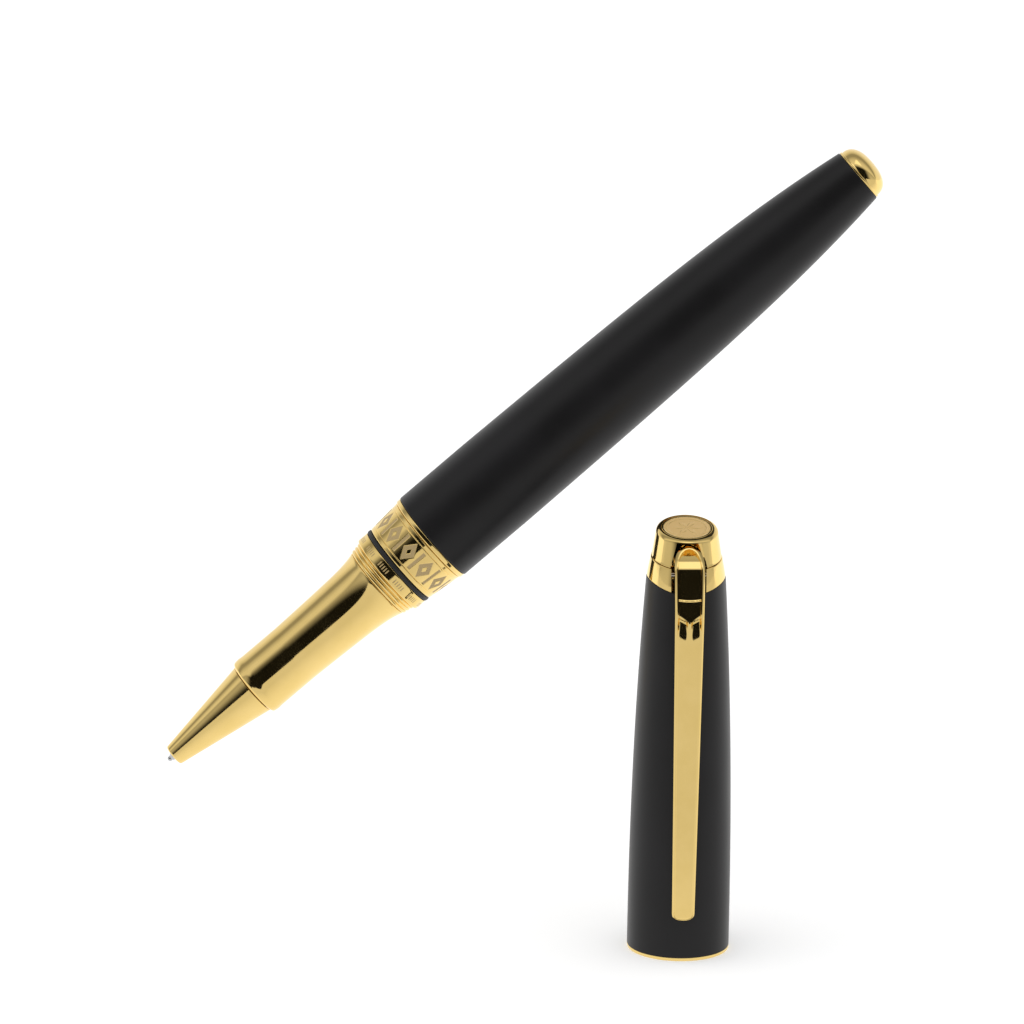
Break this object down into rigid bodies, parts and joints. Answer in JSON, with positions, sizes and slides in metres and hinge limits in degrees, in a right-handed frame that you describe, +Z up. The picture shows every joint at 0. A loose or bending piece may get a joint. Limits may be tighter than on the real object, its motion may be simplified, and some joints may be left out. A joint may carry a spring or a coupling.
{
  "type": "rollerball pen",
  "caption": "Tapered black rollerball pen with gilt grip and bands, leaning uncapped beside its push-on cap, which stands on its mouth with a sprung clip in front.",
  "frame": {"origin": "middle of the straight front of the grip, on the pen's axis, where a cradle holds the pen", "axes": "+Z up, with the cap standing upright on its mouth; -Y towards the clip's side, which is the front; the pen lies in a plane 6 degrees off XZ, its tip low at -X and its tail high at +X"},
  "size_m": [0.0929, 0.0393, 0.1003],
  "materials": {
    "gilt": "pale yellow gold plate, mirror polished",
    "black_lacquer": "matt black lacquer on brass",
    "bare_brass": "turned",
    "steel": "bright",
    "black_rubber": "moulded",
    "dark_plastic": "moulded",
    "light_plastic": "moulded",
    "ink_fibre": "ink-filled fibre rod",
    "coloured_plastic": "moulded"
  },
  "bodies": {
    "section": {"nozzle": "gilt", "grip_sleeve": "gilt", "section_core": "bare_brass", "rib_ring": "gilt", "shoulder_band": "gilt", "seal_ring": "black_rubber"},
    "barrel": {"collar_band": "gilt", "trim_ring": "gilt", "thread_bush": "bare_brass", "barrel_tube": "black_lacquer", "refill_guide": "dark_plastic", "end_plug": "bare_brass", "finial": "gilt"},
    "spring_carrier": {"refill_spring": "steel", "spring_washer": "bare_brass"},
    "refill": {"refill_tip": "steel", "refill_nose": "light_plastic", "refill_tube": "steel", "ink_reservoir": "ink_fibre", "refill_plug": "coloured_plastic"},
    "ball": {"writing_ball": "steel"},
    "cap": {"cap_mouth_ring": "gilt", "cap_tube": "black_lacquer", "cap_liner": "bare_brass", "cap_clutch": "steel", "inner_cap": "dark_plastic", "cap_end_plug": "bare_brass", "crown_screw": "steel", "cap_collar": "gilt", "cap_crown": "gilt", "crown_medallion": "gilt", "clip_pin": "steel", "clip_spring": "steel"},
    "clip": {"clip": "gilt"}
  },
  "joints": [
    {"name": "refill_float", "type": "slide", "parent": "section", "child": "refill", "axis": [0.7506, 0.0789, 0.6561], "range_m": [0, 0.001], "stiffness_N_per_m": 300, "springref_m": -0.004, "deforming": ["refill_spring"]},
    {"name": "ball_roll", "type": "hinge", "parent": "refill", "child": "ball", "pos_m": [-0.01374, -0.00144, -0.01201], "axis": [-0.1045, 0.9945, 0], "continuous": true},
    {"name": "barrel_advance", "type": "slide", "parent": "section", "child": "spring_carrier", "axis": [0.7506, 0.0789, 0.6561], "range_m": [0, 0.005]},
    {"name": "barrel_turn", "type": "hinge", "parent": "spring_carrier", "child": "barrel", "pos_m": [0, 0, 0], "axis": [0.7506, 0.0789, 0.6561], "range_deg": [0, 1801]},
    {"name": "cap_lift", "type": "slide", "parent": "section", "child": "cap", "axis": [0, 0, 1], "range_m": [0, 0.06]},
    {"name": "clip_hinge", "type": "hinge", "parent": "cap", "child": "clip", "pos_m": [0.05334, -0.0221, 0.0196], "axis": [-0.9986, -0.0523, 0], "range_deg": [0, 6], "stiffness_Nm_per_rad": 0.4, "springref_deg": -22.92, "deforming": ["clip_spring"]}
  ],
  "couplings": [
    {"joint": "barrel_turn", "follows": "barrel_advance", "rad_per_m": 6283.2}
  ]
}
